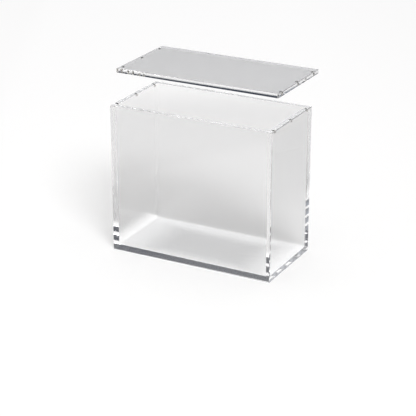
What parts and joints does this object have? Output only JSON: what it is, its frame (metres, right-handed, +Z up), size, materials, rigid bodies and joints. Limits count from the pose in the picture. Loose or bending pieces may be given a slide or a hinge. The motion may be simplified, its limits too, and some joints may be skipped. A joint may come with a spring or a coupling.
{
  "type": "acrylic display case",
  "caption": "Clear acrylic display case: an open-topped box of bonded sheet panels with a flat lift-off lid held shut by small magnets in the side walls and lid.",
  "frame": {"origin": "centre of the base panel's underside, where the case stands", "axes": "+X to the right along the width, +Y from the front panel to the back panel, +Z up out of the open top"},
  "size_m": [0.203, 0.1195, 0.2165],
  "materials": {
    "clear_acrylic": "clear cast acrylic sheet, 5.8 mm in the box and 5 mm in the lid, polished faces and edges",
    "nickel_plated_magnet": "bright nickel plating on a sintered round magnet"
  },
  "bodies": {
    "case": {"base_panel": "clear_acrylic", "front_panel": "clear_acrylic", "back_panel": "clear_acrylic", "left_panel": "clear_acrylic", "right_panel": "clear_acrylic", "left_wall_magnet_front": "nickel_plated_magnet", "left_wall_magnet_middle": "nickel_plated_magnet", "left_wall_magnet_back": "nickel_plated_magnet", "right_wall_magnet_front": "nickel_plated_magnet", "right_wall_magnet_middle": "nickel_plated_magnet", "right_wall_magnet_back": "nickel_plated_magnet"},
    "lid": {"lid_panel": "clear_acrylic", "left_lid_magnet_front": "nickel_plated_magnet", "left_lid_magnet_middle": "nickel_plated_magnet", "left_lid_magnet_back": "nickel_plated_magnet", "right_lid_magnet_front": "nickel_plated_magnet", "right_lid_magnet_middle": "nickel_plated_magnet", "right_lid_magnet_back": "nickel_plated_magnet"}
  },
  "joints": [
    {"name": "lid_lift", "type": "slide", "parent": "case", "child": "lid", "axis": [0, 0.4098, 0.9122], "range_m": [-0.03782, 0.205]}
  ]
}
